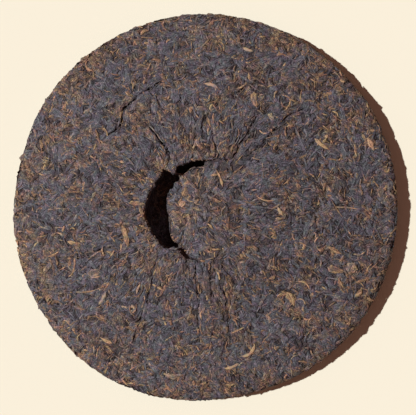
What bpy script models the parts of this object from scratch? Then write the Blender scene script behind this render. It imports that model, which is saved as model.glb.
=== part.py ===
"""A pressed cake of pu-erh tea, lying on its smooth front with the knot hollow of its back facing up.

The leaf is steamed in a cloth bag and pressed between stones, so the cake is one solid: a low dome
with a rounded rim and an uneven round outline. The bag's knot has left a round dent in the top. The
dent's floor is a low mound, with a deep slot between it and the wall on one side, and the cloth's
pleats run out from it. Metres, +Z up. The origin is the middle of the base.
"""

import math

import bmesh
import bpy
from mathutils import Matrix, Vector, noise

# Driving dimensions, in metres.
CAKE_RADIUS = 0.100
CAKE_HEIGHT = 0.0212  # where the dome would peak if the hollow were not there
RIM_HEIGHT = 0.0092  # where the outline is widest
EDGE_RISE = 0.0014  # how high the rounded edge rises over the rim
EDGE_WIDTH = 0.0045  # how far in the rounded edge reaches
DOME_POWER = 1.7  # 2 would be a round dome, and 1 a cone
BASE_SHARE = 0.80  # the flat base's radius as a share of the outline's
UNDERSIDE_POWER = 3.2  # how sharply the underside turns up into the rim

# Where the outline leaves a circle: direction and half width in degrees, and how far outwards.
OUTLINE_SWELLS = (
    (240, 26, 0.0019),
    (166, 15, -0.0014),
    (285, 17, -0.0009),
    (92, 26, 0.0005),
    (25, 20, 0.0002),
)

# The knot hollow: a dent with a mound as its floor, and a slot between the mound and the wall.
HOLLOW_CENTRE = Vector((-0.0042, -0.0012))
HOLLOW_RADIUS = 0.0256
HOLLOW_SWELLS = (
    (62, 13, 0.0034),
    (107, 8, -0.0014),
    (121, 4.5, -0.0042),
    (130, 4, 0.0014),
    (184, 14, 0.0015),
    (244, 9, -0.0030),
)

# The slot's width by direction, in degrees.
SLOT_WIDTHS = (
    (40, 0.0),
    (62, 0.0014),
    (78, 0.0026),
    (85, 0.0036),
    (98, 0.0036),
    (110, 0.0046),
    (121, 0.0038),
    (130, 0.0094),
    (150, 0.0085),
    (162, 0.0095),
    (176, 0.0116),
    (190, 0.0130),
    (209, 0.0098),
    (228, 0.0062),
    (242, 0.0030),
    (256, 0.0023),
    (272, 0.0012),
    (296, 0.0),
)
LEAST_SLOT = 0.0018  # width of the crease that goes on round where the slot has closed
SLOT_DEPTH = 0.0150
FULL_DEPTH_WIDTH = 0.0038  # where the slot is narrower than this, it is shallower too
DEEP_SIDE = math.radians(178)
MOUND_NEAR = 0.0032  # the mound's depth below the top, beside the slot
MOUND_FAR = 0.0005  # the same on the far side
MOUND_EDGE_DROP = 0.0014  # how far the mound's edge is rounded off beside the slot
LIP_DROP = 0.0006  # how far the top sinks towards the hollow's edge
LIP_REACH = 0.006

# The pleats of the cloth, which start at the hollow's edge and fade outwards.
PLEATS = 19
PLEAT_DEPTH = 0.0006
PLEAT_REACH = 0.026

# Uneven pressing: slow rises and dips of the top.
LUMP_HEIGHT = 0.0005
LUMP_SIZE = 0.030

# Two cracks where the pressed leaf has parted, each a line of places. They taper towards both ends.
CRACK_DEPTH = 0.0030
CRACK_HALF_WIDTH = 0.0007
CRACKS = (
    ((-0.0276, 0.0401), (-0.0226, 0.0338), (-0.0187, 0.0295), (-0.0173, 0.0252), (-0.0196, 0.0195)),
    ((-0.0226, 0.0646), (-0.0332, 0.0575), (-0.0414, 0.0511), (-0.0430, 0.0419), (-0.0520, 0.0345)),
)

# The mesh: how many steps round the cake, and how many rings on each stretch of the profile.
SECTORS = 120
MOUND_RINGS = (0.22, 0.45, 0.66, 0.84, 0.94, 1.0)
SLOT_RINGS = ((0.07, 0.93), (0.30, 1.0), (0.62, 1.0), (0.84, 0.90), (0.94, 0.50), (0.985, 0.15))
LIP_RINGS = (0.0, 0.018, 0.045, 0.085)
DOME_RINGS = 9
EDGE_RINGS = 6
UNDERSIDE_RINGS = 7

LEAF_COLOUR = (0.100, 0.078, 0.074, 1.0)
LEAF_ROUGHNESS = 0.72


def clear_scene():
    for obj in list(bpy.data.objects):
        bpy.data.objects.remove(obj, do_unlink=True)


def smoothstep(x):
    x = min(max(x, 0.0), 1.0)
    return x * x * (3 - 2 * x)


def direction(angle):
    return Vector((math.cos(angle), math.sin(angle)))


def swollen(radius, swells, angle):
    """The distance to a nearly round edge in this direction."""
    for middle, half_width, height in swells:
        away = math.remainder(angle - math.radians(middle), math.tau)
        radius += height * math.exp(-((away / math.radians(half_width)) ** 2))
    return radius


def outline_radius(angle):
    return swollen(CAKE_RADIUS, OUTLINE_SWELLS, angle)


def hollow_edge(angle):
    return HOLLOW_CENTRE + direction(angle) * swollen(HOLLOW_RADIUS, HOLLOW_SWELLS, angle)


def slot_width(angle):
    degrees = math.degrees(angle)
    for (start, before), (end, after) in zip(SLOT_WIDTHS, SLOT_WIDTHS[1:]):
        if start <= degrees < end:
            return before + (after - before) * (degrees - start) / (end - start)
    return 0.0


def slot_depth(angle):
    return SLOT_DEPTH * min(slot_width(angle) / FULL_DEPTH_WIDTH, 1.0)


def pleat_at(angle):
    """0 on a pleat's crest and 1 in the fold between two, unevenly spaced."""
    phase = PLEATS * (angle + 0.09 * math.sin(3 * angle) + 0.05 * math.sin(5 * angle + 1))
    return (0.5 + 0.5 * math.cos(phase)) ** 3


def dome_height(place):
    """The top's height over a point, before the hollow is pressed in."""
    outline = outline_radius(math.atan2(place.y, place.x))
    inset = max(outline - place.length, 0.0)
    edge = math.sqrt(1 - (1 - min(inset / EDGE_WIDTH, 1.0)) ** 2)
    dome = 1 - (min(place.length, outline) / outline) ** DOME_POWER
    lump = LUMP_HEIGHT * noise.noise(Vector((place.x, place.y, 0.05)) / LUMP_SIZE)
    return RIM_HEIGHT + (EDGE_RISE + lump) * edge + (CAKE_HEIGHT - RIM_HEIGHT - EDGE_RISE) * dome


def top_point(place, angle):
    """A point of the top outside the hollow, at this angle round the hollow's centre."""
    away = (place - hollow_edge(angle)).length
    sunk = LIP_DROP * math.exp(-away / LIP_REACH)
    sunk += PLEAT_DEPTH * pleat_at(angle) * math.exp(-((away / PLEAT_REACH) ** 2))
    return Vector((place.x, place.y, dome_height(place) - sunk * (1 - place.length / CAKE_RADIUS)))


def mound_edge(angle):
    """Where the mound ends and the slot round it begins."""
    return hollow_edge(angle) - direction(angle) * max(slot_width(angle), LEAST_SLOT)


def mound_point(share, angle):
    """A point of the mound, at this share of the way from the hollow's centre to the mound's edge."""
    place = HOLLOW_CENTRE.lerp(mound_edge(angle), share)
    towards_deep = (place - HOLLOW_CENTRE).dot(direction(DEEP_SIDE)) / HOLLOW_RADIUS
    depth = MOUND_FAR + (MOUND_NEAR - MOUND_FAR) * smoothstep(0.62 + towards_deep)
    depth += MOUND_EDGE_DROP * slot_depth(angle) / SLOT_DEPTH * smoothstep((share - 0.7) / 0.3)
    return Vector((place.x, place.y, dome_height(place) - LIP_DROP - depth))


def slot_point(across, depth_share, angle):
    """A point of the slot, at this share of the way across from the mound to the wall."""
    inner = mound_edge(angle)
    outer = hollow_edge(angle)
    place = inner.lerp(outer, across)
    brink = mound_point(1.0, angle).z * (1 - across) + top_point(outer, angle).z * across
    bottom = dome_height(outer) - slot_depth(angle)
    return Vector((place.x, place.y, brink + (min(bottom, brink) - brink) * depth_share))


def hollow_rings():
    """Rings from near the hollow's centre, over the mound and down through the slot."""
    for share in MOUND_RINGS:
        yield [mound_point(share, sector_angle(i)) for i in range(SECTORS)]
    for across, depth_share in SLOT_RINGS:
        yield [slot_point(across, depth_share, sector_angle(i)) for i in range(SECTORS)]


def top_rings():
    """Rings from the hollow's edge to the outline, closer together where the edge is rounded."""
    edge_start = 1 - EDGE_WIDTH / (CAKE_RADIUS - HOLLOW_RADIUS)
    step = (edge_start - LIP_RINGS[-1]) / DOME_RINGS
    shares = [*LIP_RINGS, *(LIP_RINGS[-1] + step * (i + 1) for i in range(DOME_RINGS))]
    for i in range(1, EDGE_RINGS + 1):
        shares.append(edge_start + (1 - edge_start) * math.sin(math.radians(90) * i / EDGE_RINGS))
    for share in shares:
        ring = []
        for i in range(SECTORS):
            angle = sector_angle(i)
            outer = direction(angle) * outline_radius(angle)
            ring.append(top_point(hollow_edge(angle).lerp(outer, share), angle))
        yield ring


def underside_rings():
    """Rings from just below the outline in to the edge of the flat base."""
    for step in range(1, UNDERSIDE_RINGS + 1):
        tilt = math.radians(90) * (1 - step / UNDERSIDE_RINGS)
        share = BASE_SHARE + (1 - BASE_SHARE) * math.sin(tilt) ** (2 / UNDERSIDE_POWER)
        height = RIM_HEIGHT * (1 - math.cos(tilt))
        ring = []
        for i in range(SECTORS):
            place = direction(sector_angle(i)) * outline_radius(sector_angle(i)) * share
            ring.append(Vector((place.x, place.y, height)))
        yield ring


def sector_angle(i):
    return math.tau * i / SECTORS


def add_loops(bm, loops):
    """Joins closed loops of corners with bands of faces."""
    for inner, outer in zip(loops, loops[1:]):
        for i in range(len(inner)):
            after = (i + 1) % len(inner)
            bm.faces.new((inner[i], outer[i], outer[after], inner[after]))


def finished_object(name, bm):
    bmesh.ops.recalc_face_normals(bm, faces=bm.faces)
    mesh = bpy.data.meshes.new(name)
    bm.to_mesh(mesh)
    bm.free()
    obj = bpy.data.objects.new(name, mesh)
    bpy.context.scene.collection.objects.link(obj)
    return obj


def whole_cake():
    """The closed skin: a fan over the mound's middle, bands between the rings, and a flat base."""
    bm = bmesh.new()
    middle = bm.verts.new(mound_point(0.0, 0.0))
    rings = [*hollow_rings(), *top_rings(), *underside_rings()]
    loops = [[bm.verts.new(point) for point in ring] for ring in rings]
    for i in range(SECTORS):
        bm.faces.new((middle, loops[0][i], loops[0][(i + 1) % SECTORS]))
    add_loops(bm, loops)
    bm.faces.new(reversed(loops[-1]))
    return finished_object("tea_cake", bm)


def crack_cutter(path):
    """A thin wedge along a crack, which narrows and grows shallow towards both ends."""
    bm = bmesh.new()
    loops = []
    for i, place in enumerate(path):
        place = Vector(place)
        along = (Vector(path[min(i + 1, len(path) - 1)]) - Vector(path[max(i - 1, 0)])).normalized()
        across = Vector((-along.y, along.x))
        size = 0.35 + 0.65 * math.sin(math.pi * (i + 0.5) / len(path))
        half = across * CRACK_HALF_WIDTH * size
        height = dome_height(place)
        corners = (
            (*(place - half * 2), height + CRACK_DEPTH),
            (*(place + half * 2), height + CRACK_DEPTH),
            (*place, height - CRACK_DEPTH * size),
        )
        loops.append([bm.verts.new(corner) for corner in corners])
    add_loops(bm, loops)
    bm.faces.new(loops[0])
    bm.faces.new(reversed(loops[-1]))
    return finished_object("crack", bm)


def cut_cracks(cake):
    for path in CRACKS:
        cutter = crack_cutter(path)
        cut = cake.modifiers.new("crack", "BOOLEAN")
        cut.operation = "DIFFERENCE"
        cut.solver = "EXACT"
        cut.object = cutter
        evaluated = cake.evaluated_get(bpy.context.evaluated_depsgraph_get())
        cracked = bpy.data.meshes.new_from_object(evaluated)
        cake.modifiers.clear()
        cake.data = cracked
        bpy.data.objects.remove(cutter, do_unlink=True)


def centre(mesh):
    """Moves the cake sideways so that the origin is the middle of its base."""
    corners = [vertex.co for vertex in mesh.vertices]
    shift = Vector((0, 0, 0))
    for axis in (0, 1):
        reach = [corner[axis] for corner in corners]
        shift[axis] = (min(reach) + max(reach)) / 2
    mesh.transform(Matrix.Translation(-shift))


def pressed_leaf_material():
    material = bpy.data.materials.new("pressed_leaf")
    material.use_nodes = True
    shader = material.node_tree.nodes["Principled BSDF"]
    shader.inputs["Base Color"].default_value = LEAF_COLOUR
    shader.inputs["Roughness"].default_value = LEAF_ROUGHNESS
    shader.inputs["Metallic"].default_value = 0.0
    return material


def make_tea_cake():
    cake = whole_cake()
    cut_cracks(cake)
    centre(cake.data)
    cake.data.name = "tea_cake"
    cake.data.materials.append(pressed_leaf_material())
    cake.data.shade_smooth()
    cake.data.set_sharp_from_angle(angle=math.radians(50))
    return cake


clear_scene()
make_tea_cake()
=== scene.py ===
"""The looks of a pressed cake of pu-erh tea, seen from straight above on a pale floor.

The cake's body is a rough dark core. Thousands of separate leaves are laid over it in every direction,
each a thin bent strip that follows the surface, and pressed level: dark leaves, narrow strands, brown
leaves, golden tips and stems. Lengths are in metres unless a name says otherwise. +Z is up.
"""

import math
from dataclasses import dataclass

import bpy
import numpy as np
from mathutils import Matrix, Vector, noise
from mathutils.bvhtree import BVHTree


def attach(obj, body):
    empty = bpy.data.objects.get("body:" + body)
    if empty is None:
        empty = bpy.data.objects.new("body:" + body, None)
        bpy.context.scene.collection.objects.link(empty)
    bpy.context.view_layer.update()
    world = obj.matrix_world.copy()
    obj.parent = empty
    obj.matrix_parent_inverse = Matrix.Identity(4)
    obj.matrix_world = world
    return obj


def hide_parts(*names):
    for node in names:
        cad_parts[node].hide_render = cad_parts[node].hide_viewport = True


MM = 0.001
SEED = 20

# The picture: straight down, with this width in view at the cake's widest level.
VIEW_WIDTH = 216.0 * MM
VIEW_LEVEL = 9.2 * MM
VIEW_CENTRE = (1.25 * MM, -0.05 * MM)
LENS_MM = 85.0
SENSOR_MM = 36.0

# Light: a low sun from the left, and a dim even sky.
SUN_FROM_AZIMUTH = 171.0
SUN_ELEVATION = 48.0
SUN_STRENGTH = 3.95
SUN_SIZE = 1.6
SUN_COLOUR = (0.930, 0.985, 1.0)
SKY_STRENGTH = 0.118
SKY_COLOUR = (1.0, 0.52, 0.42)
FLOOR_REACH = 3.0
FLOOR_COLOUR = (0.975, 0.885, 0.720)
BACKDROP_COLOUR = (0.965, 0.872, 0.710)

# The core lies below the leaves and is rough.
CORE_VOXEL = 1.5 * MM
CORE_DEPTH = 0.45 * MM
CORE_RELIEF = 0.20 * MM
CORE_COARSE_GRAIN = 2.2 * MM
CORE_FINE_GRAIN = 1.1 * MM
CORE_FINE_SHARE = 0.5
CORE_LOWEST = 0.3 * MM

# A fold's section in the core: this much over full depth at its middle, so that its floor is level,
# and rising over this many half widths.
FOLD_FILL = 1.3
FOLD_RISE = 2.2

# The knot hollow. The leaves in it and round it tend to run towards its middle, as the cloth's pleats
# do. Leaf ends stick out over its edge between the two directions of LIP_SPAN, in degrees.
KNOT = np.array([-4.6, -1.3]) * MM
KNOT_RADIUS = 26.0 * MM
KNOT_REACH = 30.0 * MM
KNOT_PULL = 0.55
LIP_SPAN = (72, 252)

# A place lies on the top where its normal points higher than this, and in the knot hollow's slot
# where it is this near to the knot and this low.
TOP_NORMAL = -0.15
SLOT_REACH = 30.0 * MM
SLOT_LEVEL = 14.5 * MM

# Leaves lie nearly along the surface. Those drawn towards the knot spread a little from it.
LOOSE_SPREAD = 0.30
DRAWN_SPREAD = 0.25

# Leaves beside a fold turn along it within this many times the room they need, and a leaf is over a
# fold when it comes within these shares of the fold's half width and its own width.
BESIDE_FOLD = 1.3
OVER_FOLD = 0.6
OVER_LEAF = 0.2

# Leaf sizes bunch below the middle of their range: the two shape values of a beta distribution.
SIZE_SHAPE = (1.6, 2.4)

# A leaf's outline: how its half width tapers, leans, narrows at least and wobbles from row to row.
TIP_LIMIT = 1.05
TAPER_POWER = 0.6
OUTLINE_LEAN = 0.35
LEAST_TAPER = 0.10
WOBBLE = 0.26
WOBBLE_RANGE = (0.5, 1.5)

# A leaf's relief: its twist and ridges as shares of the kind's own, its dipping ends and its ripple.
TWIST_SHARE = 0.8
RIDGE_CHANGE = 0.7
END_DIP = 0.28 * MM
END_DIP_POWER = 4
RIPPLE = 0.05 * MM

# A leaf is pressed level at this height over the CAD surface: one height on the top, a lower one where
# the surface faces down, and softly over this depth. No leaf goes below the last height.
PRESSED_LEVEL = 0.24 * MM
UNDER_LEVEL = -0.05 * MM
UNDER_GAIN = 1.6
UNDER_START = 0.4
PRESS_DEPTH = 0.25 * MM
LEAF_LOWEST = 0.02 * MM

# A spine leans this many times more to the surface's new normal than to its last one.
NORMAL_LEAD = 2

# Leaves that stand out are set down from above, and lie this many millimetres over their kind.
LANDMARK_DROP = 30.0 * MM
LANDMARK_LIFT = 0.22

# The edge of the knot hollow is found in steps from outside, where the surface falls by LIP_FALL.
LIP_START = 32.0 * MM
LIP_STEP = 0.2 * MM
LIP_STEPS = 60
LIP_FALL = 0.5 * MM
RAY_HEIGHT = 50.0 * MM
LIP_SETBACK = (0.10, 0.45)
LIP_SPREAD = 0.55

# Texture cells: how many times wider than high, and the share left free at their ends and sides.
CELL_SHAPE = 5
CELL_END = 0.04
CELL_SIDE = 0.10

# Towards the rim the leaf is browner.
RIM_START = 84.0 * MM
RIM_END = 99.0 * MM
RIM_WARMTH = 0.35

# The leaf is browner on the mound inside the knot hollow too.
MOUND_RADIUS = 23.0 * MM
MOUND_FADE = 6.0 * MM
MOUND_WARMTH = 0.22


@dataclass
class Fold:
    """A crack or crease of the top, in millimetres: half its width, its depth and where it runs.

    open_share is the share of the leaves over it that are left out.
    """

    half_width: float
    depth: float
    open_share: float
    places: tuple


@dataclass
class LeafKind:
    """How one kind of leaf is cut, bent, laid and toned. Lengths are in millimetres."""

    name: str
    upper_count: int
    under_count: int
    length: tuple
    width: tuple
    height: tuple
    bend_degrees: float
    kink_degrees: float
    roll_degrees: float
    segments: int
    section: tuple
    ridge: float
    blunt: float
    tone: tuple
    warmth: tuple
    # Painted shade: kinds with False are left out of the knot hollow's slot, so that only darker leaves lie
    # where its shade falls.
    in_slot: bool = True


@dataclass
class Landmark:
    """One leaf that stands out: its middle, its direction and bend in degrees, its size and colour."""

    kind: str
    x: float
    y: float
    heading: float
    length: float
    width: float
    bend: float
    tone: float
    warmth: float


# Sections across a leaf: place from edge to edge, and height in millimetres.
BROAD_SECTION = ((-1, -0.20), (-0.86, -0.02), (-0.42, 0.01), (0.04, -0.01), (0.45, 0.01), (0.86, -0.02),
                 (1, -0.20))
FLAT_SECTION = ((-1, -0.22), (-0.80, -0.01), (0.05, 0.02), (0.80, -0.01), (1, -0.22))
ROLLED_SECTION = ((-1, -0.24), (-0.60, 0.01), (0, 0.07), (0.60, 0.01), (1, -0.24))
THIN_SECTION = ((-1, -0.20), (0, 0.05), (1, -0.20))

KINDS = (
    LeafKind("broad_leaves", 2600, 1200, (4.5, 14.0), (1.7, 4.4), (-0.16, 0.05), 20, 4, 2.4, 6,
             BROAD_SECTION, 0.04, 0.62, (0.38, 0.66), (-0.10, 0.30)),
    LeafKind("dark_leaves", 2600, 1250, (4.0, 10.0), (0.8, 1.9), (-0.15, 0.11), 30, 6, 4, 5,
             FLAT_SECTION, 0.035, 0.6, (0.26, 0.74), (-0.10, 0.40)),
    # The darkest dark strands, down to a tone below zero, are painted shade: black lines for the shadowed
    # gaps between leaves.
    LeafKind("dark_strands", 6600, 2200, (3.0, 9.5), (0.30, 0.75), (-0.14, 0.12), 50, 9, 6, 7,
             THIN_SECTION, 0.02, 0.6, (-0.04, 0.86), (0.10, 0.80)),
    LeafKind("brown_leaves", 2200, 700, (2.5, 9.5), (0.5, 2.0), (-0.15, 0.11), 42, 8, 6, 6,
             FLAT_SECTION, 0.04, 0.6, (0.42, 0.78), (0.60, 1.10), False),
    LeafKind("golden_tips", 620, 200, (2.5, 8.5), (0.4, 1.5), (-0.13, 0.14), 55, 9, 4, 6,
             ROLLED_SECTION, 0.03, 0.5, (0.60, 0.96), (0.70, 1.20), False),
    LeafKind("stems", 200, 90, (4.0, 11.0), (0.4, 0.8), (-0.06, 0.12), 30, 5, 3, 8,
             ROLLED_SECTION, 0.02, 0.95, (0.50, 0.92), (0.20, 0.90), False),
)
LIP_LEAVES = LeafKind("lip_leaves", 300, 0, (1.2, 3.6), (0.35, 1.3), (-0.30, 0.08), 30, 10, 12, 5,
                      FLAT_SECTION, 0.04, 0.5, (0.25, 0.75), (0.0, 0.9))

# Two open cracks, and then the thin creases.
FOLDS = (
    Fold(0.42, 2.4, 1.0, ((-28.1, 40.3), (-23.1, 33.9), (-19.2, 29.6), (-17.7, 25.3), (-20.4, 20.0))),
    Fold(0.28, 1.8, 0.92, ((-23.1, 64.9), (-33.8, 57.8), (-42.0, 51.2), (-43.5, 42.1), (-52.6, 34.6))),
    Fold(0.22, 1.4, 0.95, ((14.5, 25.7), (18.5, 34.0), (22.0, 39.0), (25.6, 45.5))),
    Fold(0.20, 1.2, 0.9, ((20.0, 24.1), (29.7, 34.3), (36.5, 41.2), (41.4, 46.5), (51.0, 51.0))),
    Fold(0.25, 1.4, 0.95, ((4.3, 36.3), (5.0, 31.0), (7.3, 26.7))),
    Fold(0.18, 1.0, 0.85, ((-0.8, 46.0), (-2.0, 41.0), (-1.3, 35.3))),
    Fold(0.18, 1.0, 0.85, ((-12.5, 56.0), (-13.6, 50.0), (-13.0, 44.5))),
    Fold(0.18, 1.1, 0.85, ((15.5, 58.5), (19.0, 61.0), (23.6, 62.5))),
    Fold(0.15, 1.0, 0.85, ((-24.5, -25.5), (-26.7, -30.7), (-27.7, -39.4), (-32.8, -55.1), (-37.9, -69.9))),
    Fold(0.18, 1.1, 0.85, ((-5.4, -28.7), (-4.8, -38.0), (-3.3, -49.0), (-4.2, -56.0), (-2.8, -63.8))),
    Fold(0.15, 1.0, 0.8, ((2.8, -27.7), (2.2, -37.0), (4.3, -47.0))),
    Fold(0.15, 1.0, 0.8, ((8.4, -29.7), (9.0, -41.0), (11.9, -52.0), (11.5, -60.0), (12.9, -69.9))),
    Fold(0.20, 1.2, 0.9, ((-66.3, -26.7), (-60.0, -25.2), (-54.5, -21.5), (-48.0, -20.1))),
    Fold(0.24, 1.2, 0.95, ((16.0, 19.6), (18.6, 21.4), (21.6, 21.1))),
    Fold(0.20, 1.2, 0.9, ((54.6, 13.0), (58.0, 10.2), (62.2, 5.3))),
    Fold(0.15, 1.0, 0.85, ((-5.5, -26.0), (-0.4, -26.9), (5.0, -26.0), (8.0, -23.1))),
    Fold(0.22, 1.1, 0.9, ((17.4, -7.6), (18.6, -6.2), (20.2, -4.4))),
    Fold(0.10, 0.7, 0.7, ((-8.0, 15.0), (-2.2, 7.4), (0.6, -0.6))),
    Fold(0.10, 0.7, 0.7, ((2.9, 9.0), (8.0, 4.0), (11.4, -1.9))),
)

LANDMARKS = (
    Landmark("stems", 50.4, 35.0, -66, 17.0, 1.0, 6, 0.72, 0.0),
    Landmark("golden_tips", 22.3, 83.7, -18, 5.5, 1.8, 20, 1.06, 0.8),
    Landmark("golden_tips", 3.0, 64.6, -17, 7.6, 1.7, -25, 1.06, 0.75),
    Landmark("golden_tips", 61.3, 33.0, -36, 9.9, 2.2, 20, 0.93, 1.0),
    Landmark("golden_tips", 88.0, 33.5, -65, 7.9, 2.8, 10, 0.93, 1.0),
    Landmark("golden_tips", 84.5, 37.0, -60, 5.2, 1.6, 10, 0.87, 1.0),
    Landmark("brown_leaves", 34.2, 47.4, -45, 4.4, 2.8, 20, 0.87, 0.8),
    Landmark("brown_leaves", 25.4, 56.5, -78, 8.4, 2.8, 40, 0.80, 0.8),
    Landmark("stems", 74.8, -0.3, -5, 13.0, 0.9, -10, 0.84, 0.75),
    Landmark("stems", 69.4, -1.1, -56, 11.0, 0.7, 8, 0.76, 0.9),
    Landmark("brown_leaves", 45.1, -47.9, -57, 9.2, 2.8, -35, 0.82, 1.15),
    Landmark("brown_leaves", 40.0, -45.9, 25, 5.9, 2.2, -40, 0.80, 1.1),
    Landmark("brown_leaves", 67.9, -22.3, -28, 8.0, 1.7, 10, 0.80, 1.15),
    Landmark("golden_tips", 23.8, -77.3, 39, 10.5, 1.8, 70, 0.97, 0.8),
    Landmark("golden_tips", 14.4, -84.7, 20, 8.0, 1.7, 30, 0.97, 0.8),
    Landmark("golden_tips", 2.3, -32.2, 80, 3.4, 2.7, 20, 1.06, 0.55),
    Landmark("brown_leaves", -41.8, -14.4, -75, 12.0, 2.3, -12, 0.78, 1.0),
    Landmark("stems", -60.4, -44.4, 13, 16.5, 1.0, 30, 0.82, 0.85),
    Landmark("golden_tips", -69.7, -18.5, -9, 6.5, 1.7, 5, 0.87, 0.9),
    Landmark("golden_tips", -53.0, -70.7, -26, 7.1, 1.7, 15, 0.93, 0.9),
    Landmark("brown_leaves", -18.0, -89.5, -10, 6.3, 3.0, 10, 0.78, 0.8),
    Landmark("brown_leaves", -12.9, 2.3, 40, 3.8, 2.8, 10, 0.92, 0.85),
    Landmark("golden_tips", 6.6, 16.2, -68, 9.8, 1.2, -15, 0.93, 1.0),
    Landmark("golden_tips", 3.4, 17.8, 8, 4.2, 1.0, 10, 0.87, 1.0),
    Landmark("brown_leaves", -35.3, 2.3, -3, 8.9, 2.8, 15, 0.74, 0.85),
    Landmark("brown_leaves", -33.2, -1.4, -60, 5.8, 2.1, 30, 0.76, 0.8),
    Landmark("golden_tips", 38.8, -2.3, -60, 5.5, 1.7, 20, 1.06, 0.85),
    Landmark("golden_tips", 30.7, 3.8, -15, 10.1, 0.8, 45, 0.97, 0.75),
    Landmark("golden_tips", 37.2, -9.9, 75, 10.5, 1.3, -55, 0.87, 0.9),
    Landmark("broad_leaves", 77.3, -32.2, 60, 6.0, 4.5, 0, 0.80, 0.55),
    Landmark("brown_leaves", 68.7, -33.2, -15, 9.5, 2.8, 20, 0.76, 0.9),
    Landmark("golden_tips", 52.5, -39.3, -30, 8.9, 1.2, -80, 0.95, 0.8),
    Landmark("golden_tips", 50.9, -48.4, -25, 6.8, 1.2, -100, 0.79, 0.85),
    Landmark("golden_tips", 71.2, -39.8, -60, 6.3, 1.4, 15, 0.83, 1.1),
    Landmark("golden_tips", 82.9, -39.3, 20, 5.2, 1.8, 10, 0.77, 1.1),
    Landmark("golden_tips", 81.9, -45.9, 45, 5.2, 2.1, 10, 0.79, 1.1),
    Landmark("broad_leaves", -73.3, -6.3, 50, 11.8, 1.6, 0, 0.50, -0.1),
    Landmark("brown_leaves", -58.1, -28.1, -30, 4.7, 2.6, 30, 0.82, 1.1),
    Landmark("broad_leaves", -58.7, -34.2, 10, 6.5, 4.0, 0, 0.76, 0.6),
    Landmark("golden_tips", -57.6, -36.4, 10, 5.8, 0.9, 15, 0.97, 0.8),
    Landmark("golden_tips", -69.2, -31.4, 78, 10.0, 1.0, 35, 0.85, 0.9),
    Landmark("golden_tips", -54.0, -48.2, 62, 8.4, 1.8, 20, 0.91, 0.65),
    Landmark("golden_tips", -35.5, -42.3, 70, 5.8, 1.2, -30, 0.95, 0.8),
    Landmark("golden_tips", -80.6, -24.6, 25, 6.8, 1.3, 15, 0.83, 0.85),
)


def direction(degrees):
    return np.array([math.cos(math.radians(degrees)), math.sin(math.radians(degrees))])


def unit(vectors):
    return vectors / np.maximum(np.linalg.norm(vectors, axis=-1, keepdims=True), 1e-12)


def along_surface(vectors, normals):
    """The part of each vector that lies in the surface, at unit length."""
    return unit(vectors - normals * np.sum(vectors * normals, axis=-1, keepdims=True))


# ---------------------------------------------------------------------------------------------------
# The surface that the leaves follow


class Surface:
    """The CAD cake as a surface to scatter on and to walk over."""

    def __init__(self, cake):
        mesh = cake.data
        mesh.calc_loop_triangles()
        self.corners = np.array([tuple(vertex.co) for vertex in mesh.vertices])
        self.triangles = np.array([tuple(triangle.vertices) for triangle in mesh.loop_triangles])
        self.tree = BVHTree.FromPolygons(self.corners.tolist(), self.triangles.tolist())

    def scatter(self, rng, count, wanted):
        """Random places, even by area, on the triangles whose middles and normals are wanted."""
        a, b, c = (self.corners[self.triangles[:, i]] for i in range(3))
        cross = np.cross(b - a, c - a)
        area = np.linalg.norm(cross, axis=1)
        area = area * wanted((a + b + c) / 3, unit(cross))
        chosen = rng.choice(len(area), size=count, p=area / area.sum())
        u = np.sqrt(rng.random((count, 1)))
        v = rng.random((count, 1))
        return (1 - u) * a[chosen] + u * (1 - v) * b[chosen] + u * v * c[chosen]

    def nearest(self, points):
        """The nearest surface place and normal for each point."""
        places = np.empty_like(points)
        normals = np.empty_like(points)
        for i, point in enumerate(points):
            place, normal, _, _ = self.tree.find_nearest(point)
            places[i] = place
            normals[i] = normal
        return places, normals


def nearest_on_fold(points, fold):
    """Distance from each point to a fold seen from above, the way out from it, and its direction."""
    flat = points[..., :2]
    nearest = np.full(flat.shape[:-1], np.inf)
    outwards = np.zeros_like(flat)
    along = np.zeros_like(flat)
    places = np.array(fold.places) * MM
    for start, end in zip(places, places[1:]):
        run = end - start
        share = np.clip((flat - start) @ run / (run @ run), 0, 1)
        offset = flat - start - share[..., None] * run
        gap = np.linalg.norm(offset, axis=-1)
        closer = gap < nearest
        nearest = np.where(closer, gap, nearest)
        outwards = np.where(closer[..., None], unit(offset), outwards)
        along = np.where(closer[..., None], unit(run), along)
    return nearest, outwards, along


# ---------------------------------------------------------------------------------------------------
# The core


def make_core(cake):
    """The cake's rough body, a little smaller than the CAD solid, which shows between the leaves."""
    core = bpy.data.objects.new("core", cake.data.copy())
    bpy.context.scene.collection.objects.link(core)
    weld = core.modifiers.new("weld", "WELD")
    weld.merge_threshold = 0.00001
    remesh = core.modifiers.new("remesh", "REMESH")
    remesh.mode = "VOXEL"
    remesh.voxel_size = CORE_VOXEL
    evaluated = core.evaluated_get(bpy.context.evaluated_depsgraph_get())
    core.data = bpy.data.meshes.new_from_object(evaluated)
    core.modifiers.clear()
    mesh = core.data
    points = np.array([tuple(vertex.co) for vertex in mesh.vertices])
    normals = np.array([tuple(normal.vector) for normal in mesh.vertex_normals])
    coarse = np.array([noise.noise(Vector(point) / CORE_COARSE_GRAIN) for point in points])
    fine = np.array([noise.noise(Vector(point) / CORE_FINE_GRAIN) for point in points])
    depth = CORE_DEPTH - CORE_RELIEF * (coarse + CORE_FINE_SHARE * fine)
    on_top = points[:, 2] > VIEW_LEVEL
    for fold in FOLDS:
        gap, _, _ = nearest_on_fold(points, fold)
        inside = np.clip(FOLD_FILL - gap / (FOLD_RISE * fold.half_width * MM), 0, 1)
        depth += on_top * fold.depth * MM * inside
    points -= normals * depth[:, None]
    points[:, 2] = np.maximum(points[:, 2], CORE_LOWEST)
    mesh.vertices.foreach_set("co", points.ravel())
    mesh.shade_smooth()
    mesh.materials.clear()
    mesh.materials.append(core_material())
    return core


# ---------------------------------------------------------------------------------------------------
# The leaves


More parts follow.
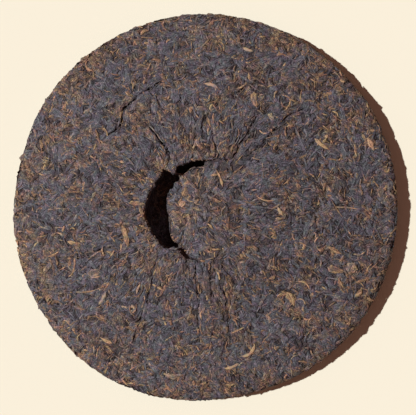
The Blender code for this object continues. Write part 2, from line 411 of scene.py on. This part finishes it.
def headings_for(rng, places, normals):
    """A direction for each leaf: any way round, but near the knot more often in line with it."""
    turn = rng.uniform(0, 2 * math.pi, len(places))
    loose = np.stack([np.cos(turn), np.sin(turn), rng.normal(0, LOOSE_SPREAD, len(places))], axis=1)
    out = np.zeros_like(loose)
    out[:, :2] = places[:, :2] - KNOT
    away = np.linalg.norm(out, axis=1)
    out = unit(out) * rng.choice((-1.0, 1.0), len(places))[:, None]
    pull = KNOT_PULL * np.exp(-(((away - KNOT_RADIUS) / KNOT_REACH) ** 2))
    pull *= places[:, 2] > VIEW_LEVEL
    pulled = rng.random(len(places)) < pull
    mixed = np.where(pulled[:, None], out + rng.normal(0, DRAWN_SPREAD, loose.shape), loose)
    return along_surface(mixed, normals)


def lie_along_folds(middles, headings, widths):
    """Turns the leaves that lie across a fold to run beside it instead."""
    on_top = middles[:, 2] > VIEW_LEVEL
    for fold in FOLDS:
        gap, outwards, along = nearest_on_fold(middles, fold)
        room = fold.half_width * MM + 0.5 * widths
        close = on_top & (gap < BESIDE_FOLD * room)
        forwards = np.sign(np.sum(headings[:, :2] * along, axis=1) + 1e-9)[:, None]
        turned = np.concatenate([along * forwards, np.zeros((len(gap), 1))], axis=1)
        headings = np.where(close[:, None], turned, headings)
        middles[:, :2] += outwards * (np.maximum(room - gap, 0) * close)[:, None]
    return middles, headings


def walk(surface, middles, headings, lengths, turns):
    """Lays each leaf's spine over the surface, both ways from its middle."""
    middles, normals = surface.nearest(middles)
    headings = along_surface(headings, normals)
    segments = turns.shape[1]
    half = segments // 2
    places = [middles]
    ups = [normals]
    runs = [headings]
    for way, columns in ((1, range(half, segments)), (-1, range(half - 1, -1, -1))):
        place = middles
        up = normals
        run = headings
        for column in columns:
            side = np.cross(up, run)
            turn = (turns[:, column] * way)[:, None]
            run = along_surface(run * np.cos(turn) + side * np.sin(turn), up)
            step = (lengths / segments * way)[:, None]
            place, new_up = surface.nearest(place + run * step)
            up = unit(up + NORMAL_LEAD * new_up)
            run = along_surface(run, up)
            at = len(places) if way > 0 else 0
            places.insert(at, place)
            ups.insert(at, up)
            runs.insert(at, run)
    return np.stack(places, 1), np.stack(ups, 1), np.stack(runs, 1)


def clear_of_folds(rng, spines, widths):
    """True for the leaves that are kept, which is all that don't cover a crack or a crease."""
    kept = np.ones(len(spines), bool)
    on_top = spines[:, :, 2].min(axis=1) > VIEW_LEVEL
    for fold in FOLDS:
        gap = nearest_on_fold(spines, fold)[0].min(axis=1)
        over = on_top & (gap < OVER_FOLD * fold.half_width * MM + OVER_LEAF * widths)
        kept &= ~(over & (rng.random(len(spines)) < fold.open_share))
    return kept


def leaf_strips(rng, kind, spines, ups, runs, widths, heights):
    """The corners of every leaf: a section swept along its spine, tapered, rolled and pressed level."""
    count, rows = spines.shape[:2]
    along = np.linspace(-1, 1, rows)
    section = np.array(kind.section)
    taper = (1 - np.abs(along) ** (2 / (TIP_LIMIT - kind.blunt))) ** TAPER_POWER
    lean = rng.uniform(-OUTLINE_LEAN, OUTLINE_LEAN, count)[:, None] * along
    half_widths = widths[:, None] / 2 * np.clip(taper * (1 + lean), LEAST_TAPER, None)
    wobble = 1 + WOBBLE * rng.standard_normal((count, rows))
    half_widths = half_widths * np.clip(wobble, *WOBBLE_RANGE)
    roll = np.radians(kind.roll_degrees) * (
        rng.standard_normal((count, 1)) + TWIST_SHARE * rng.standard_normal((count, 1)) * along
    )
    dip = -END_DIP * np.abs(along) ** END_DIP_POWER
    ripple = RIPPLE * rng.standard_normal((count, rows))
    middle = heights[:, None] + dip + ripple
    across = section[:, 0] * half_widths[..., None]
    ridges = rng.standard_normal((count, 1, len(section)))
    ridges = ridges + RIDGE_CHANGE * rng.standard_normal((count, rows, len(section)))
    lift = (section[:, 1] + kind.ridge * ridges) * MM
    sideways = across * np.cos(roll)[..., None] - lift * np.sin(roll)[..., None]
    height = middle[..., None] + across * np.sin(roll)[..., None] + lift * np.cos(roll)[..., None]
    under = np.clip(-ups[..., 2:3] * UNDER_GAIN - UNDER_START, 0, 1)
    level = PRESSED_LEVEL + (UNDER_LEVEL - PRESSED_LEVEL) * under
    free = level - PRESS_DEPTH
    excess = np.maximum(height - free, 0)
    height = np.minimum(height, free) + PRESS_DEPTH * np.tanh(excess / PRESS_DEPTH)
    sides = np.cross(ups, runs)
    corners = spines[:, :, None] + sides[:, :, None] * sideways[..., None]
    corners = corners + ups[:, :, None] * height[..., None]
    corners[..., 2] = np.maximum(corners[..., 2], LEAF_LOWEST)
    return corners


def strip_faces(count, rows, columns):
    """Quads of every leaf's grid of corners, wound so that they face outwards."""
    row, column = np.meshgrid(np.arange(rows - 1), np.arange(columns - 1), indexing="ij")
    first = (row * columns + column).ravel()
    quad = np.stack([first, first + columns, first + columns + 1, first + 1], axis=1)
    offsets = np.arange(count) * rows * columns
    return (quad[None] + offsets[:, None, None]).reshape(-1, 4)


def atlas_layout(count, rows, columns):
    """Texture places: each leaf has its own small cell, so that a bake keeps every leaf apart."""
    cells_high = math.ceil(math.sqrt(CELL_SHAPE * count))
    cells_wide = math.ceil(count / cells_high)
    cell = np.arange(count)
    u = np.linspace(CELL_END, 1 - CELL_END, rows)[None, :, None] + (cell % cells_wide)[:, None, None]
    v = np.linspace(CELL_SIDE, 1 - CELL_SIDE, columns)[None, None, :]
    v = v + (cell // cells_wide)[:, None, None]
    shape = (count, rows, columns)
    return np.stack([np.broadcast_to(u / cells_wide, shape), np.broadcast_to(v / cells_high, shape)], -1)


def add_attribute(mesh, name, values, shape):
    layer = mesh.attributes.new(name, "FLOAT", "POINT")
    layer.data.foreach_set("value", np.broadcast_to(values, shape).astype(np.float32).ravel())


def leaf_mesh(name, kind, corners, leaves):
    """One mesh of all leaves of a kind, with each leaf's grain direction and tones as attributes."""
    count, rows, columns = corners.shape[:3]
    faces = strip_faces(count, rows, columns)
    mesh = bpy.data.meshes.new(name)
    mesh.from_pydata(corners.reshape(-1, 3), [], faces)
    atlas = atlas_layout(count, rows, columns).reshape(-1, 2)[faces.ravel()]
    mesh.uv_layers.new(name="OFBake").data.foreach_set("uv", atlas.ravel())
    along = np.linspace(-0.5, 0.5, rows)[None, :, None] * leaves["length"][:, None, None]
    across = np.array(kind.section)[None, None, :, 0] * leaves["width"][:, None, None] / 2
    apart = leaves["tone"][:, None, None]
    grain = np.stack(np.broadcast_arrays(along, across, apart), -1)
    layer = mesh.attributes.new("grain", "FLOAT_VECTOR", "POINT")
    layer.data.foreach_set("vector", grain.astype(np.float32).ravel())
    # Each leaf's outermost columns are marked for the painted shade at its edges.
    edge_shade_mask = np.zeros(columns)
    edge_shade_mask[[0, -1]] = 1.0
    shape = (count, rows, columns)
    add_attribute(mesh, "edge", edge_shade_mask, shape)
    add_attribute(mesh, "tone", leaves["tone"][:, None, None], shape)
    add_attribute(mesh, "warmth", leaves["warmth"][:, None, None], shape)
    mesh.shade_smooth()
    return mesh


def on_upper_face(middles, normals):
    return (normals[:, 2] > TOP_NORMAL).astype(float)


def on_under_face(middles, normals):
    return (normals[:, 2] <= TOP_NORMAL).astype(float)


def in_the_slot(middles):
    """True for places down in the slot of the knot hollow."""
    near = np.linalg.norm(middles[:, :2] - KNOT, axis=1) < SLOT_REACH
    return near & (middles[:, 2] < SLOT_LEVEL)


def random_leaves(rng, kind, count):
    """Size, lie, bends and tones for each leaf of a kind."""
    low, high = kind.length
    lengths = (low + (high - low) * rng.beta(*SIZE_SHAPE, count)) * MM
    low, high = kind.width
    widths = (low + (high - low) * rng.beta(*SIZE_SHAPE, count)) * MM
    bends = math.radians(kind.bend_degrees) * rng.standard_normal((count, 1)) / kind.segments
    kinks = math.radians(kind.kink_degrees) * rng.standard_normal((count, kind.segments))
    return {
        "length": lengths,
        "width": widths,
        "height": rng.uniform(*kind.height, count) * MM,
        "turns": bends + kinks,
        "tone": rng.uniform(*kind.tone, count),
        "warmth": rng.uniform(*kind.warmth, count),
    }


def place_landmarks(kind, middles, headings, leaves):
    """Puts the leaves that stand out where they lie, in place of the first few of their kind."""
    marks = [mark for mark in LANDMARKS if mark.kind == kind.name]
    for i, mark in enumerate(marks):
        middles[i] = (mark.x * MM, mark.y * MM, LANDMARK_DROP)
        headings[i] = (*direction(mark.heading), 0.0)
        leaves["length"][i] = mark.length * MM
        leaves["width"][i] = mark.width * MM
        leaves["height"][i] = (kind.height[1] + LANDMARK_LIFT) * MM
        leaves["turns"][i] = math.radians(mark.bend) / kind.segments
        leaves["tone"][i] = mark.tone
        leaves["warmth"][i] = mark.warmth


def kept_leaves(leaves, keep):
    return {name: values[keep] for name, values in leaves.items()}


def link_leaves(name, kind, corners, leaves, material):
    mesh = leaf_mesh(name, kind, corners, leaves)
    mesh.materials.append(material)
    piece = bpy.data.objects.new(name, mesh)
    bpy.context.scene.collection.objects.link(piece)
    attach(piece, "root")


def make_leaves(surface, kind, face, count, wanted, material):
    """All leaves of one kind on one face of the cake, as one piece."""
    rng = np.random.default_rng([SEED, KINDS.index(kind), face == "upper"])
    middles = surface.scatter(rng, count, wanted)
    middles, normals = surface.nearest(middles)
    headings = headings_for(rng, middles, normals)
    leaves = random_leaves(rng, kind, count)
    away = np.linalg.norm(middles[:, :2], axis=1)
    leaves["warmth"] += RIM_WARMTH * np.clip((away - RIM_START) / (RIM_END - RIM_START), 0, 1)
    from_knot = np.linalg.norm(middles[:, :2] - KNOT, axis=1)
    on_mound = np.clip((MOUND_RADIUS - from_knot) / MOUND_FADE, 0, 1) * (face == "upper")
    leaves["warmth"] += MOUND_WARMTH * on_mound
    # The lighter kinds are left out of the slot, which darkens it as painted shade.
    keep = kind.in_slot | ~in_the_slot(middles)
    if face == "upper":
        place_landmarks(kind, middles, headings, leaves)
    middles, headings = lie_along_folds(middles, headings, leaves["width"])
    spines, ups, runs = walk(surface, middles, headings, leaves["length"], leaves["turns"])
    keep &= clear_of_folds(rng, spines, leaves["width"])
    corners = leaf_strips(rng, kind, spines, ups, runs, leaves["width"], leaves["height"])
    link_leaves(f"{face}_{kind.name}", kind, corners[keep], kept_leaves(leaves, keep), material)


def lip_place(surface, angle):
    """The edge of the knot hollow at this angle round it, found by coming in from outside."""
    out = np.array([math.cos(angle), math.sin(angle)])
    last = None
    for step in range(LIP_STEPS):
        flat = KNOT + out * (LIP_START - LIP_STEP * step)
        hit = surface.tree.ray_cast(Vector((*flat, RAY_HEIGHT)), Vector((0, 0, -1)))[0]
        if last is not None and hit.z < last[2] - LIP_FALL:
            return last
        last = np.array(hit)
    return last


def make_lip_leaves(surface, material):
    """Leaf ends that stick out over the slot of the knot hollow, and make its edge ragged."""
    kind = LIP_LEAVES
    count = kind.upper_count
    rng = np.random.default_rng([SEED, len(KINDS)])
    leaves = random_leaves(rng, kind, count)
    angles = np.radians(rng.uniform(*LIP_SPAN, count))
    middles = np.array([lip_place(surface, angle) for angle in angles])
    out = np.stack([np.cos(angles), np.sin(angles), np.zeros(count)], axis=1)
    middles += out * (rng.uniform(*LIP_SETBACK, count) * leaves["length"])[:, None]
    headings = unit(out + rng.normal(0, LIP_SPREAD, (count, 3)) * (1, 1, 0))
    turned = np.arctan2(headings[:, 1], headings[:, 0])[:, None] + np.cumsum(leaves["turns"], axis=1)
    runs = np.stack([np.cos(turned), np.sin(turned), np.zeros_like(turned)], axis=2)
    runs = np.concatenate([headings[:, None], runs], axis=1)
    steps = np.arange(kind.segments + 1) - kind.segments / 2
    steps = steps[None, :, None] * (leaves["length"] / kind.segments)[:, None, None]
    spines = middles[:, None] + runs * steps
    ups = np.broadcast_to(np.array([0.0, 0.0, 1.0]), spines.shape)
    corners = leaf_strips(rng, kind, spines, ups, runs, leaves["width"], leaves["height"])
    link_leaves("upper_lip_leaves", kind, corners, leaves, material)


# ---------------------------------------------------------------------------------------------------
# Materials


# Leaf colours from dark to light, for slate and for brown leaf, and the tints that vary them. The slate's
# blue-grey cast is painted sheen: the sky's reflection on the leaf, laid into its colour.
COOL_AND_SHEEN_STOPS = (
    (0.00, (0.018, 0.013, 0.017)),
    (0.30, (0.056, 0.049, 0.060)),
    (0.55, (0.097, 0.090, 0.107)),
    (0.80, (0.152, 0.141, 0.160)),
    (1.00, (0.250, 0.230, 0.240)),
)
WARM_STOPS = (
    (0.00, (0.026, 0.013, 0.010)),
    (0.30, (0.088, 0.050, 0.037)),
    (0.55, (0.156, 0.094, 0.063)),
    (0.80, (0.320, 0.182, 0.096)),
    (1.00, (0.580, 0.370, 0.200)),
)
TINT_STOPS = ((0.32, (0.90, 1.03, 0.94)), (0.50, (1.0, 0.98, 1.0)), (0.68, (1.12, 0.91, 1.04)))
# Painted shade: leaf edges are darkened towards this near-black, in place of the shadowed gaps between
# leaves.
EDGE_SHADE_COLOUR = (0.018, 0.011, 0.010, 1.0)

# Patterns in the leaf, from fine to broad: about how many to a metre. Veins are drawn out along a leaf.
SPECK_SCALE = 1500.0
MOTTLE_SCALE = 560.0
TINT_SCALE = 430.0
CLUSTER_SCALE = 150.0
REGION_SCALE = 55.0
VEIN_STRETCH = (300.0, 2300.0, 40.0)

# How far the patterns swing a leaf's tone, its warmth, its relief and its roughness. Specks, mottling
# and veins swing the tone with the relief, so that a leaf is darker where its bump is low: painted shade
# in the hollows, on top of the leaf's own mottling.
SPECK_TONE = 1.3
MOTTLE_TONE = 0.4
VEIN_TONE = 2.1
MOTTLE_WARMTH = 1.6
CLUSTER_WARMTH = 2.2
REGION_WARMTH = 1.8
RELIEF_SWING = 0.6
ROUGHNESS_SWING = 0.25
# How far the painted edge shade darkens each leaf's outermost columns.
EDGE_SHADE_DARKNESS = 0.75
LEAF_SPECULAR = 0.25

# The core's own patterns, tone and warmth, and the depth of its bumps.
CORE_SPECK_SCALE = 1300.0
CORE_MOTTLE_SCALE = 500.0
CORE_TONE = 0.26
# The core's specks also make its bump, so their darkening is partly painted shade in its hollows.
CORE_SPECK_TONE = 1.6
CORE_MOTTLE_TONE = 0.8
CORE_WARMTH = 0.40
CORE_MOTTLE_WARMTH = 2.0
CORE_ROUGHNESS = 0.85
CORE_BUMP = 0.5 * MM


class Nodes:
    """Short calls for building one material's node tree."""

    def __init__(self, name):
        self.material = bpy.data.materials.new(name)
        self.material.use_nodes = True
        self.tree = self.material.node_tree
        self.shader = self.tree.nodes["Principled BSDF"]

    def add(self, kind, settings=None, **inputs):
        node = self.tree.nodes.new(kind)
        for key, value in (settings or {}).items():
            setattr(node, key, value)
        for key, value in inputs.items():
            self.connect(value, node.inputs[key.replace("_", " ")])
        return node

    def connect(self, value, socket):
        if isinstance(value, bpy.types.NodeSocket):
            self.tree.links.new(value, socket)
        else:
            socket.default_value = value

    def attribute(self, name):
        return self.add("ShaderNodeAttribute", {"attribute_name": name})

    def ramp(self, factor, stops):
        """A colour ramp through (place, colour) stops."""
        node = self.add("ShaderNodeValToRGB")
        elements = node.color_ramp.elements
        while len(elements) < len(stops):
            elements.new(0.5)
        for element, (place, colour) in zip(elements, stops):
            element.position = place
            element.color = (*colour, 1.0)
        self.connect(factor, node.inputs["Fac"])
        return node.outputs["Color"]

    def noise(self, vector, scale, detail=2.0, roughness=0.5):
        node = self.add("ShaderNodeTexNoise", None, Scale=scale, Detail=detail, Roughness=roughness)
        self.connect(vector, node.inputs["Vector"])
        return node.outputs["Fac"]

    def stretched(self, vector, scale):
        node = self.add("ShaderNodeMapping")
        self.connect(vector, node.inputs["Vector"])
        node.inputs["Scale"].default_value = scale
        return node.outputs["Vector"]

    def math(self, operation, a, b):
        node = self.add("ShaderNodeMath", {"operation": operation})
        self.connect(a, node.inputs[0])
        self.connect(b, node.inputs[1])
        return node.outputs["Value"]

    def swung(self, value, swings):
        """The value, moved up and down by each of some noises by its own strength."""
        for pattern, strength in swings:
            swing = self.math("MULTIPLY", self.math("SUBTRACT", pattern, 0.5), strength)
            value = self.math("ADD", value, swing)
        return value

    def mix(self, blend, factor, a, b):
        node = self.add("ShaderNodeMix", {"data_type": "RGBA", "blend_type": blend})
        self.connect(factor, node.inputs[0])
        self.connect(a, node.inputs[6])
        self.connect(b, node.inputs[7])
        return node.outputs[2]


def leaf_colour(nodes, place, shade, warmth):
    """Slate with its painted blue-grey sheen, mixed with brown by warmth; dark to light by shade, with a
    slow drift of tint.
    """
    warm = nodes.add("ShaderNodeClamp", None, Value=warmth).outputs["Result"]
    colour = nodes.mix("MIX", warm, nodes.ramp(shade, COOL_AND_SHEEN_STOPS), nodes.ramp(shade, WARM_STOPS))
    drift = nodes.noise(nodes.stretched(place, (1.0, -1.0, 1.0)), TINT_SCALE, 2.0)
    return nodes.mix("MULTIPLY", 1.0, colour, nodes.ramp(drift, TINT_STOPS))


def leaf_material(name, roughness, vein_depth, mottle):
    """Dry pressed leaf: mottled, with fine veins along each leaf; painted shade darkens its edges and the
    low parts of its bump.
    """
    nodes = Nodes(name)
    grain = nodes.attribute("grain").outputs["Vector"]
    tone = nodes.attribute("tone").outputs["Fac"]
    warmth = nodes.attribute("warmth").outputs["Fac"]
    edge = nodes.attribute("edge").outputs["Fac"]
    place = nodes.add("ShaderNodeTexCoord").outputs["Object"]
    specks = nodes.noise(place, SPECK_SCALE, 2.0, 0.6)
    mottling = nodes.noise(place, MOTTLE_SCALE, 3.0, 0.6)
    clusters = nodes.noise(place, CLUSTER_SCALE, 2.0)
    regions = nodes.noise(place, REGION_SCALE, 2.0)
    veins = nodes.noise(nodes.stretched(grain, VEIN_STRETCH), 1.0, 2.0, 0.6)
    # Painted shade: the tone swings with the same noises as the relief, darker where the bump is low, along
    # with the leaf's own mottling.
    tone_and_shade_swings = (
        (specks, SPECK_TONE * mottle),
        (mottling, MOTTLE_TONE * mottle),
        (veins, VEIN_TONE * mottle),
    )
    warmth_swings = (
        (mottling, MOTTLE_WARMTH),
        (clusters, CLUSTER_WARMTH),
        (regions, REGION_WARMTH),
    )
    shade = nodes.swung(tone, tone_and_shade_swings)
    warm = nodes.swung(warmth, warmth_swings)
    colour = leaf_colour(nodes, place, shade, warm)
    # Painted shade: each leaf's edges are darkened towards a near-black, for the shadowed gaps between
    # leaves.
    colour = nodes.mix("MIX", nodes.math("MULTIPLY", edge, EDGE_SHADE_DARKNESS), colour, EDGE_SHADE_COLOUR)
    nodes.connect(colour, nodes.shader.inputs["Base Color"])
    rough = nodes.math("ADD", nodes.math("MULTIPLY", mottling, ROUGHNESS_SWING), roughness)
    nodes.connect(rough, nodes.shader.inputs["Roughness"])
    nodes.shader.inputs["Specular IOR Level"].default_value = LEAF_SPECULAR
    relief = nodes.swung(veins, ((mottling, RELIEF_SWING), (specks, RELIEF_SWING)))
    bump = nodes.add("ShaderNodeBump", None, Strength=1.0, Distance=vein_depth, Height=relief)
    nodes.connect(bump.outputs["Normal"], nodes.shader.inputs["Normal"])
    return nodes.material


def core_material():
    """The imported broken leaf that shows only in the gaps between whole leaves."""
    nodes = Nodes("packed_leaf_core")
    place = nodes.add("ShaderNodeTexCoord").outputs["Object"]
    specks = nodes.noise(place, CORE_SPECK_SCALE, 3.0, 0.65)
    mottling = nodes.noise(place, CORE_MOTTLE_SCALE, 3.0, 0.6)
    # Painted shade: the specks darken the core where its bump is low, along with its own mottling.
    shade = nodes.swung(CORE_TONE, ((specks, CORE_SPECK_TONE), (mottling, CORE_MOTTLE_TONE)))
    warm = nodes.swung(CORE_WARMTH, ((mottling, CORE_MOTTLE_WARMTH),))
    nodes.connect(leaf_colour(nodes, place, shade, warm), nodes.shader.inputs["Base Color"])
    nodes.shader.inputs["Roughness"].default_value = CORE_ROUGHNESS
    bump = nodes.add("ShaderNodeBump", None, Strength=1.0, Distance=CORE_BUMP, Height=specks)
    nodes.connect(bump.outputs["Normal"], nodes.shader.inputs["Normal"])
    return nodes.material


def kind_materials():
    """Each kind's material: its roughness, its veins' depth in metres and its share of mottling."""
    return {
        "broad_leaves": leaf_material("broad_leaf", 0.58, 0.00036, 1.0),
        "dark_leaves": leaf_material("dark_leaf", 0.58, 0.00032, 1.0),
        "dark_strands": leaf_material("dark_strand", 0.60, 0.00024, 0.9),
        "brown_leaves": leaf_material("brown_leaf", 0.62, 0.00028, 0.8),
        "golden_tips": leaf_material("golden_tip", 0.66, 0.00020, 0.7),
        "stems": leaf_material("stem", 0.62, 0.00016, 0.6),
    }


# ---------------------------------------------------------------------------------------------------
# Stage, light and camera


def make_floor():
    size = FLOOR_REACH
    mesh = bpy.data.meshes.new("floor")
    corners = [(-size, -size, 0), (size, -size, 0), (size, size, 0), (-size, size, 0)]
    mesh.from_pydata(corners, [], [(0, 1, 2, 3)])
    nodes = Nodes("pale_board")
    nodes.shader.inputs["Base Color"].default_value = (*FLOOR_COLOUR, 1.0)
    nodes.shader.inputs["Roughness"].default_value = 0.9
    nodes.shader.inputs["Specular IOR Level"].default_value = 0.0
    mesh.materials.append(nodes.material)
    floor = bpy.data.objects.new("floor", mesh)
    bpy.context.scene.collection.objects.link(floor)


def make_lights():
    lamp = bpy.data.lights.new("sun", "SUN")
    lamp.energy = SUN_STRENGTH
    lamp.angle = math.radians(SUN_SIZE)
    lamp.color = SUN_COLOUR
    sun = bpy.data.objects.new("sun", lamp)
    across = direction(SUN_FROM_AZIMUTH) * math.cos(math.radians(SUN_ELEVATION))
    towards = Vector((*across, math.sin(math.radians(SUN_ELEVATION))))
    sun.rotation_euler = towards.to_track_quat("Z", "Y").to_euler()
    sun.location = towards
    bpy.context.scene.collection.objects.link(sun)

    world = bpy.data.worlds.new("sky")
    bpy.context.scene.world = world
    world.use_nodes = True
    tree = world.node_tree
    sky = tree.nodes["Background"]
    sky.inputs["Color"].default_value = (*SKY_COLOUR, 1.0)
    sky.inputs["Strength"].default_value = SKY_STRENGTH
    backdrop = tree.nodes.new("ShaderNodeBackground")
    backdrop.inputs["Color"].default_value = (*BACKDROP_COLOUR, 1.0)
    ray = tree.nodes.new("ShaderNodeLightPath")
    mix = tree.nodes.new("ShaderNodeMixShader")
    tree.links.new(ray.outputs["Is Camera Ray"], mix.inputs["Fac"])
    tree.links.new(sky.outputs["Background"], mix.inputs[1])
    tree.links.new(backdrop.outputs["Background"], mix.inputs[2])
    tree.links.new(mix.outputs["Shader"], tree.nodes["World Output"].inputs["Surface"])


def make_camera():
    lens = bpy.data.cameras.new("camera")
    lens.sensor_width = SENSOR_MM
    lens.lens = LENS_MM
    lens.clip_start = 0.01
    lens.clip_end = 20.0
    camera = bpy.data.objects.new("camera", lens)
    distance = VIEW_WIDTH * LENS_MM / SENSOR_MM
    camera.location = (*VIEW_CENTRE, VIEW_LEVEL + distance)
    bpy.context.scene.collection.objects.link(camera)
    bpy.context.scene.camera = camera


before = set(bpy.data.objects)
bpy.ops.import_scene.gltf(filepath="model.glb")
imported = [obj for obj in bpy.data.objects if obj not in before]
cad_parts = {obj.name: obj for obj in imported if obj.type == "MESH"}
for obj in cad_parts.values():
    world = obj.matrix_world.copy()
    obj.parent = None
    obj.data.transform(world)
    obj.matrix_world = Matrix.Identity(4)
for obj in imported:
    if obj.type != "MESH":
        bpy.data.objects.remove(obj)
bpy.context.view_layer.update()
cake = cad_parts["tea_cake"]
surface = Surface(cake)

core = make_core(cake)
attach(core, "root")
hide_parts("tea_cake")

materials = kind_materials()
for kind in KINDS:
    for face, count, wanted in (
        ("upper", kind.upper_count, on_upper_face),
        ("under", kind.under_count, on_under_face),
    ):
        make_leaves(surface, kind, face, count, wanted, materials[kind.name])
make_lip_leaves(surface, materials["dark_leaves"])

make_floor()
make_lights()
make_camera()
bpy.context.scene.view_settings.view_transform = "Standard"
